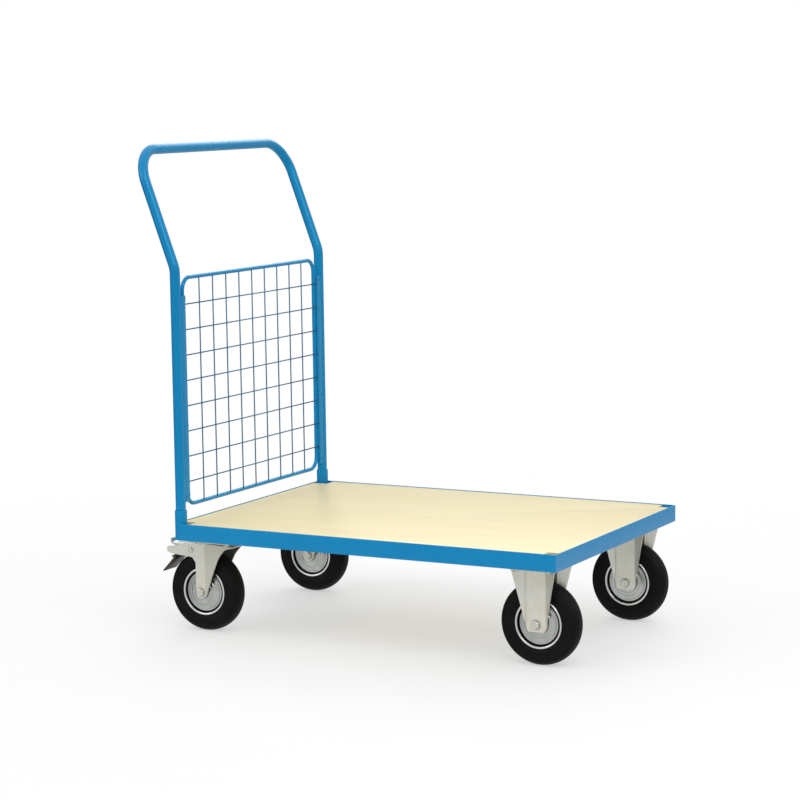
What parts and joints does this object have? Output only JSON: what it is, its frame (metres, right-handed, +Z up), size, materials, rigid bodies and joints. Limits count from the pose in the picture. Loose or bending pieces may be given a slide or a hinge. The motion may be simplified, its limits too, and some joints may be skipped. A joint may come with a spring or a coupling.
{
  "type": "platform trolley",
  "caption": "Platform trolley: board deck in a steel rim, wire mesh end with a bent tube push handle, fixed castors at one end and braked swivel castors at the other.",
  "frame": {"origin": "on the floor, midway along the overall length and on the centre plane", "axes": "+X from the push handle end to the free end, +Y to the far long side, +Z up"},
  "size_m": [1.1484, 0.73, 1.2025],
  "materials": {
    "blue_paint": "semi-gloss blue powder coat",
    "beech_laminate": "matt pale beech laminate on board",
    "zinc_plate": "dull zinc plate",
    "bright_zinc": "bright zinc plate",
    "black_rubber": "smooth black rubber",
    "dark_steel": "dark painted steel",
    "brake_rubber": "matt black rubber"
  },
  "bodies": {
    "chassis": {"castor_mount_fixed_far": "blue_paint", "castor_mount_fixed_near": "blue_paint", "castor_mount_swivel_far": "blue_paint", "castor_mount_swivel_near": "blue_paint", "corner_socket_far": "blue_paint", "corner_socket_near": "blue_paint", "cross_member_fixed": "blue_paint", "cross_member_swivel": "blue_paint", "deck_board": "beech_laminate", "fixed_axle_far": "bright_zinc", "fixed_axle_near": "bright_zinc", "fixed_fork_far": "zinc_plate", "fixed_fork_near": "zinc_plate", "fixed_nut_far": "bright_zinc", "fixed_nut_near": "bright_zinc", "fixed_plate_far": "zinc_plate", "fixed_plate_near": "zinc_plate", "frame_rail_far": "blue_paint", "frame_rail_free_end": "blue_paint", "frame_rail_handle_end": "blue_paint", "frame_rail_near": "blue_paint", "king_pin_far": "zinc_plate", "king_pin_near": "zinc_plate", "mesh_frame": "blue_paint", "mesh_strip_far": "blue_paint", "mesh_strip_near": "blue_paint", "mesh_wires": "blue_paint", "push_handle": "blue_paint", "swivel_plate_far": "zinc_plate", "swivel_plate_near": "zinc_plate", "swivel_race_far": "zinc_plate", "swivel_race_near": "zinc_plate"},
    "fork_near": {"swivel_fork_near": "zinc_plate", "swivel_axle_near": "bright_zinc", "swivel_nut_near": "bright_zinc", "brake_pin_near": "bright_zinc"},
    "swivel_wheel_near": {"swivel_tyre_near": "black_rubber", "swivel_rim_near": "bright_zinc", "swivel_hub_near": "zinc_plate"},
    "fixed_wheel_near": {"fixed_tyre_near": "black_rubber", "fixed_rim_near": "bright_zinc", "fixed_hub_near": "zinc_plate"},
    "brake_near": {"brake_lever_near": "zinc_plate", "brake_pedal_near": "dark_steel", "brake_shoe_near": "brake_rubber"},
    "fork_far": {"swivel_fork_far": "zinc_plate", "swivel_axle_far": "bright_zinc", "swivel_nut_far": "bright_zinc", "brake_pin_far": "bright_zinc"},
    "swivel_wheel_far": {"swivel_tyre_far": "black_rubber", "swivel_rim_far": "bright_zinc", "swivel_hub_far": "zinc_plate"},
    "fixed_wheel_far": {"fixed_tyre_far": "black_rubber", "fixed_rim_far": "bright_zinc", "fixed_hub_far": "zinc_plate"},
    "brake_far": {"brake_lever_far": "zinc_plate", "brake_pedal_far": "dark_steel", "brake_shoe_far": "brake_rubber"}
  },
  "joints": [
    {"name": "swivel_near", "type": "hinge", "parent": "chassis", "child": "fork_near", "pos_m": [-0.38775, -0.265, 0.225], "axis": [0, 0, 1], "continuous": true},
    {"name": "swivel_wheel_spin_near", "type": "hinge", "parent": "fork_near", "child": "swivel_wheel_near", "pos_m": [-0.43575, -0.265, 0.1], "axis": [0, 1, 0], "continuous": true},
    {"name": "fixed_wheel_spin_near", "type": "hinge", "parent": "chassis", "child": "fixed_wheel_near", "pos_m": [0.47425, -0.265, 0.1], "axis": [0, 1, 0], "continuous": true},
    {"name": "brake_press_near", "type": "hinge", "parent": "fork_near", "child": "brake_near", "pos_m": [-0.46275, -0.265, 0.204], "axis": [0, -1, 0], "range_deg": [0, 8], "stiffness_Nm_per_rad": 4, "springref_deg": -8.59},
    {"name": "swivel_far", "type": "hinge", "parent": "chassis", "child": "fork_far", "pos_m": [-0.38775, 0.265, 0.225], "axis": [0, 0, 1], "continuous": true},
    {"name": "swivel_wheel_spin_far", "type": "hinge", "parent": "fork_far", "child": "swivel_wheel_far", "pos_m": [-0.43575, 0.265, 0.1], "axis": [0, 1, 0], "continuous": true},
    {"name": "fixed_wheel_spin_far", "type": "hinge", "parent": "chassis", "child": "fixed_wheel_far", "pos_m": [0.47425, 0.265, 0.1], "axis": [0, 1, 0], "continuous": true},
    {"name": "brake_press_far", "type": "hinge", "parent": "fork_far", "child": "brake_far", "pos_m": [-0.46275, 0.265, 0.204], "axis": [0, -1, 0], "range_deg": [0, 8], "stiffness_Nm_per_rad": 4, "springref_deg": -8.59}
  ]
}
